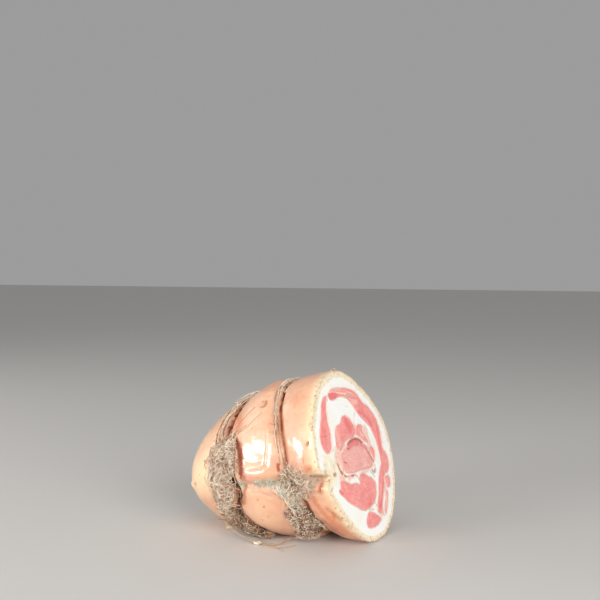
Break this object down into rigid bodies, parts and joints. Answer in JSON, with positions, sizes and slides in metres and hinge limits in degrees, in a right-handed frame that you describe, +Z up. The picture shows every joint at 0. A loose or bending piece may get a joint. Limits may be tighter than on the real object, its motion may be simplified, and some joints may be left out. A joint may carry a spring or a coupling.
{
  "type": "pancetta",
  "caption": "Half of a rolled, rind-on pancetta tied with hairy twine, lying on its side with the spiral of fat and lean showing at the cut and a closed dome at the other end.",
  "frame": {"origin": "on the surface the roll rests on, below the middle of its bounding box", "axes": "+X towards the cut end, -X towards the closed dome, +Z up, near side with the matted fibre on -Y"},
  "size_m": [0.1492, 0.1169, 0.1223],
  "materials": {
    "rind": "dried pork rind, peach to pale tan, waxy satin, over creamy white fat at the cut",
    "lean": "moist cured lean meat, salmon pink with a fine grain, satin",
    "core": "paler, granular cured lean meat, satin",
    "twine": "natural hairy twine, grey-beige, matte",
    "fibre": "matted grey-beige fibre with dark gaps and specks of pale mould, matte"
  },
  "bodies": {
    "root": {"rind_and_fat": "rind", "lean_outer_band": "lean", "lean_side_strip": "lean", "lean_upper": "lean", "lean_upper_right": "lean", "lean_right_strip": "lean", "lean_lower": "lean", "lean_bottom": "lean", "lean_right_lobe": "lean", "lean_thin_strip": "lean", "core_muscle": "core", "fibre_wad_left": "fibre", "fibre_wad_right": "fibre", "fibre_wad_lower": "fibre", "twine_front_strand_1": "twine", "twine_front_strand_2": "twine", "twine_back_strand_1": "twine", "twine_back_strand_2": "twine", "twine_back_strand_3": "twine", "twine_loose_strand": "twine"}
  },
  "joints": []
}
